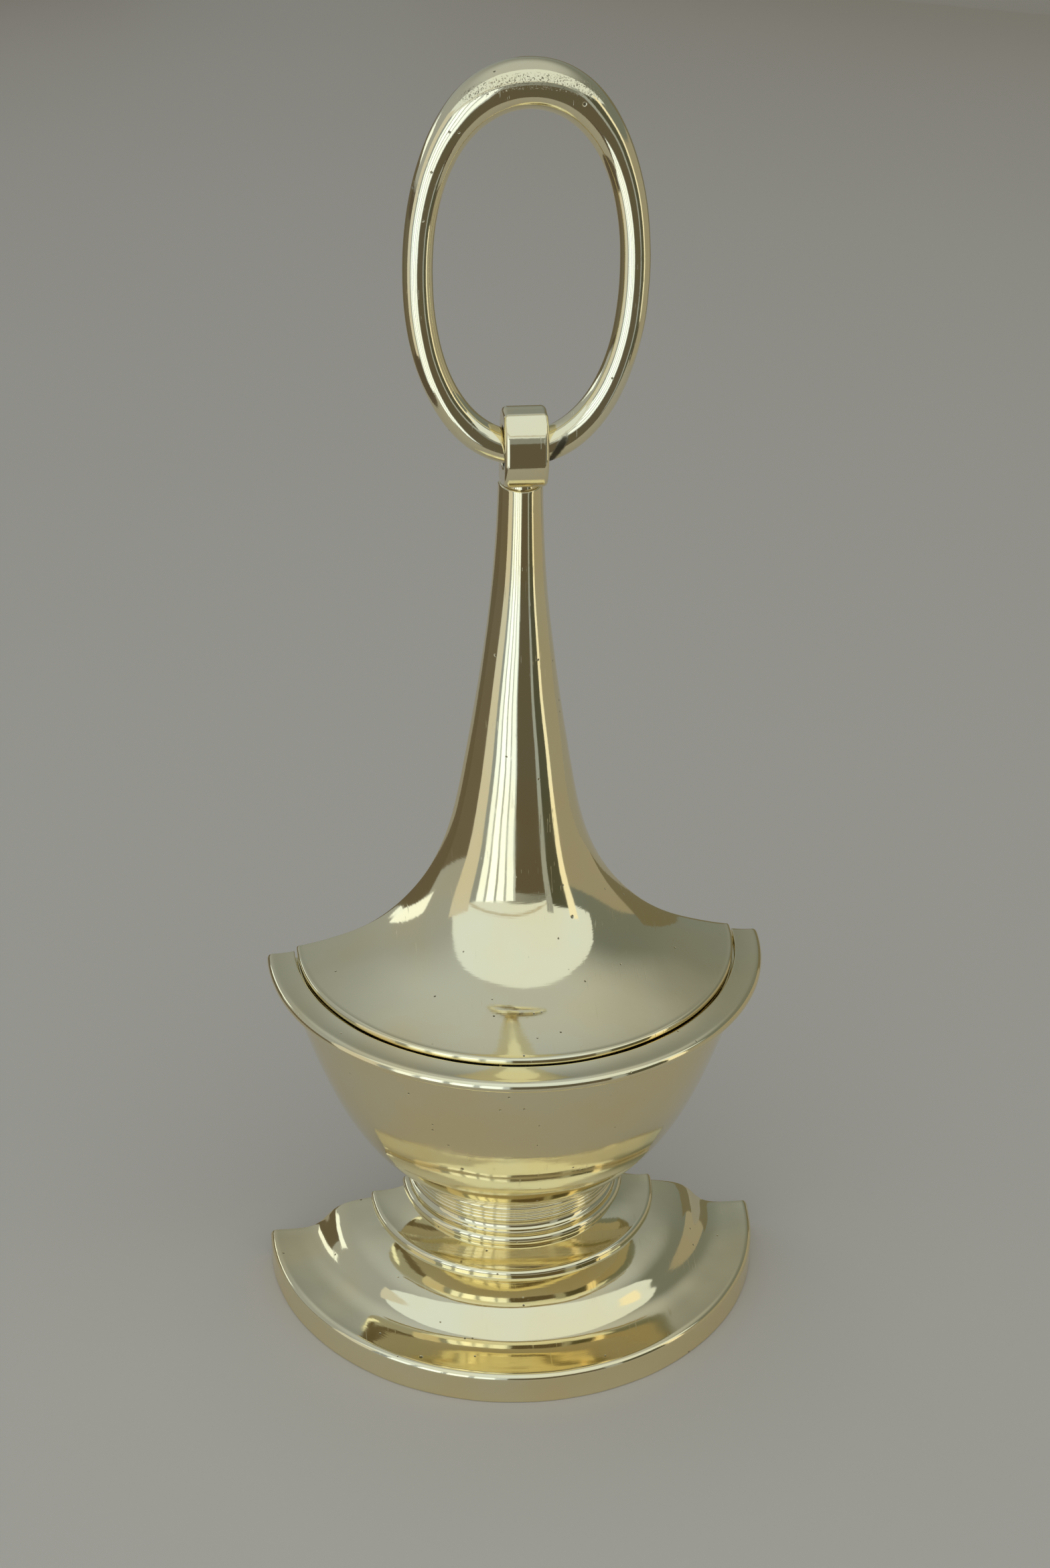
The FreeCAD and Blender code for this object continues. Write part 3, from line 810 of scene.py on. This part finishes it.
def make_pieces():
    turned = polished_brass("brass_turned", (0.88, 0.80, 0.54, 1), True)
    handled = polished_brass("brass_handle", (0.88, 0.81, 0.57, 1), False, worn_top=True)
    lead, iron = poured_lead(), rusty_iron()
    dress(make_foot(), turned, "porter", "foot")
    dress(make_bowl(), turned, "porter", "bowl")
    dress(make_cover(), turned, "porter", "cover")
    dress(make_eye(), handled, "porter", "eye")
    dress(make_ring(), handled, "ring_handle", "ring")
    dress(make_lead("foot_lead", "foot_ballast", 2.0), lead, "porter", "foot_ballast")
    dress(make_lead("bowl_lead", "bowl_ballast", 5.0), lead, "porter", "bowl_ballast")
    dress(make_tie_rod(), iron, "porter", "tie_rod")
    dress(make_tie_washer(), iron, "porter", "tie_washer")
    dress(make_tie_nut(), iron, "porter", "tie_nut")


# Stage

def make_floor_part(name, corner, opposite, seen_in_metal):
    """A rectangle of the floor between two corners, in metres."""
    (left, near), (right, far) = corner, opposite
    floor = bpy.data.objects.new(name, bpy.data.meshes.new(name))
    corners = [(left, near, 0), (right, near, 0), (right, far, 0), (left, far, 0)]
    floor.data.from_pydata(corners, [], [(0, 1, 2, 3)])
    bpy.context.scene.collection.objects.link(floor)
    floor.visible_glossy = seen_in_metal
    floor.visible_shadow = seen_in_metal
    return floor


def make_floor():
    """A plain pale floor; as on a table, only the part round the object shows in the metal."""
    material, graph, shader = new_material("floor")
    point = graph.add("NewGeometry").outputs["Position"]
    tone = graph.noise(point, 1.5, 2.0)
    colour = graph.blend(tone, (0.57, 0.505, 0.42, 1), (0.605, 0.54, 0.455, 1))
    graph.join(colour, shader.inputs["Base Color"])
    shader.inputs["Roughness"].default_value = 0.7
    left, right, near, far = TABLE_LEFT, TABLE_RIGHT, TABLE_EDGE_Y, FLOOR_REACH
    for floor in (make_floor_part("floor", (left, near), (right, far), True),
                  make_floor_part("floor_front", (-far, -far), (far, near), False),
                  make_floor_part("floor_left", (-far, near), (left, far), False),
                  make_floor_part("floor_right", (right, near), (far, far), False)):
        floor.data.materials.append(material)


def make_world():
    """The dim far side of the room: lighter to the left, dark under the floor's level."""
    world = bpy.data.worlds.new("studio")
    bpy.context.scene.world = world
    world.use_nodes = True
    graph = Graph(world.node_tree)
    split = graph.add("SeparateXYZ", {"Vector": graph.add("TexCoord").outputs["Generated"]})
    side = graph.window(split.outputs["X"], -0.9, 0.9)
    walls = graph.blend(side, (0.36, 0.395, 0.43, 1), (0.175, 0.20, 0.195, 1))
    walls = graph.blend(graph.window(split.outputs["Z"], 0.55, 0.95), walls, (0.49, 0.54, 0.59, 1))
    colour = graph.blend(graph.window(split.outputs["Z"], -0.02, -0.08), walls, (0.10, 0.085, 0.065, 1))
    graph.join(colour, world.node_tree.nodes["Background"].inputs["Color"])


def glowing(name, colour, strength):
    material, graph, shader = new_material(name)
    emission = graph.add("Emission", {"Color": (*colour, 1), "Strength": strength})
    output = next(node for node in material.node_tree.nodes if node.type == "OUTPUT_MATERIAL")
    graph.join(emission.outputs["Emission"], output.inputs["Surface"])
    material.node_tree.nodes.remove(shader)
    return material


def panel(name, corners, colour, strength):
    """A flat softbox or flag that only the metal and the floor see; corners are in metres."""
    mesh = bpy.data.meshes.new(name)
    mesh.from_pydata(corners, [], [tuple(range(len(corners)))])
    mesh.materials.append(glowing(name, colour, strength))
    obj = bpy.data.objects.new(name, mesh)
    bpy.context.scene.collection.objects.link(obj)
    obj.visible_camera = False
    obj.visible_shadow = False
    return obj


def upright_panel(name, azimuths, heights, colour, strength, distance=2.0):
    """A panel that stands between two directions, in degrees from the front towards the right."""
    (left, right), (low, high) = azimuths, heights
    feet = [(distance * math.sin(math.radians(a)), -distance * math.cos(math.radians(a)))
            for a in (left, right)]
    corners = [(*feet[0], low), (*feet[1], low), (*feet[1], high), (*feet[0], high)]
    return panel(name, corners, colour, strength)


def make_panels():
    cool, warm = (0.88, 1.0, 1.10), (0.97, 0.98, 0.93)
    panel("ceiling", [(-3.4, -3.1, 1.5), (3.4, -3.1, 1.5), (3.4, -0.27, 1.5), (-3.4, -0.27, 1.5)],
          cool, 0.86)
    upright_panel("wall_left", (-88, -66), (-1.0, 1.2), warm, 0.66)
    for number, (left, right, level) in enumerate([
            (-66, -58, 0.35), (-58, -49, 1.25), (-49, -46, 0.5), (-46, -36, 1.5), (-36, -33, 0.45),
            (-33, -24, 1.4), (-24, -21, 0.55), (-21, -11, 1.25), (-11, -8, 0.6)]):
        upright_panel("window_%d" % number, (left, right), (-1.3, 0.95), (0.87, 1.01, 1.18), level)
    upright_panel("wall_front", (-66, 34), (0.95, 1.02), warm, 0.55, 2.05)
    upright_panel("flag_front", (-8, 34), (-1.5, 0.5), (1.0, 0.90, 0.68), 0.118, 1.2)
    upright_panel("strip_right", (34, 42), (-1.0, 1.2), cool, 0.4)
    upright_panel("flag_right", (42, 62), (-1.0, 1.0), (0.95, 1.0, 0.75), 0.09)
    upright_panel("strip_side", (62, 71), (-0.6, 1.2), (1.0, 0.98, 0.82), 1.0)
    upright_panel("wall_right", (71, 130), (-0.9, 0.5), (1.0, 0.96, 0.78), 0.33)
    upright_panel("wall_right_back", (130, 176), (-0.9, 0.75), (1.0, 0.95, 0.66), 0.17)
    upright_panel("flag_left", (-124, -88), (-0.9, 0.08), (1.0, 0.90, 0.70), 0.15)
    upright_panel("window_left", (-142, -118), (0.42, 0.75), cool, 1.2)
    upright_panel("flag_left_back", (-176, -124), (-0.9, 0.4), (1.0, 0.88, 0.64), 0.13)


def make_camera():
    """Above and in front of the object, a little to its left, as the photograph was taken."""
    pan, tilt, roll = math.radians(7.055), math.radians(29.143), math.radians(0.822)
    forward = Vector((math.sin(pan) * math.cos(tilt), math.cos(pan) * math.cos(tilt), -math.sin(tilt)))
    level = Vector((math.cos(pan), -math.sin(pan), 0))
    upward = level.cross(forward)
    right = level * math.cos(roll) + upward * math.sin(roll)
    up = right.cross(forward)
    data = bpy.data.cameras.new("camera")
    data.lens, data.sensor_width = 62.08, 36.0
    camera = bpy.data.objects.new("camera", data)
    bpy.context.scene.collection.objects.link(camera)
    turn = Matrix((right, up, -forward)).transposed().to_4x4()
    camera.matrix_world = Matrix.Translation((-0.08575, -0.67376, 0.57607)) @ turn
    bpy.context.scene.camera = camera


make_pieces()
make_floor()
make_world()
make_panels()
bpy.context.scene.view_settings.view_transform = "Standard"
make_camera()
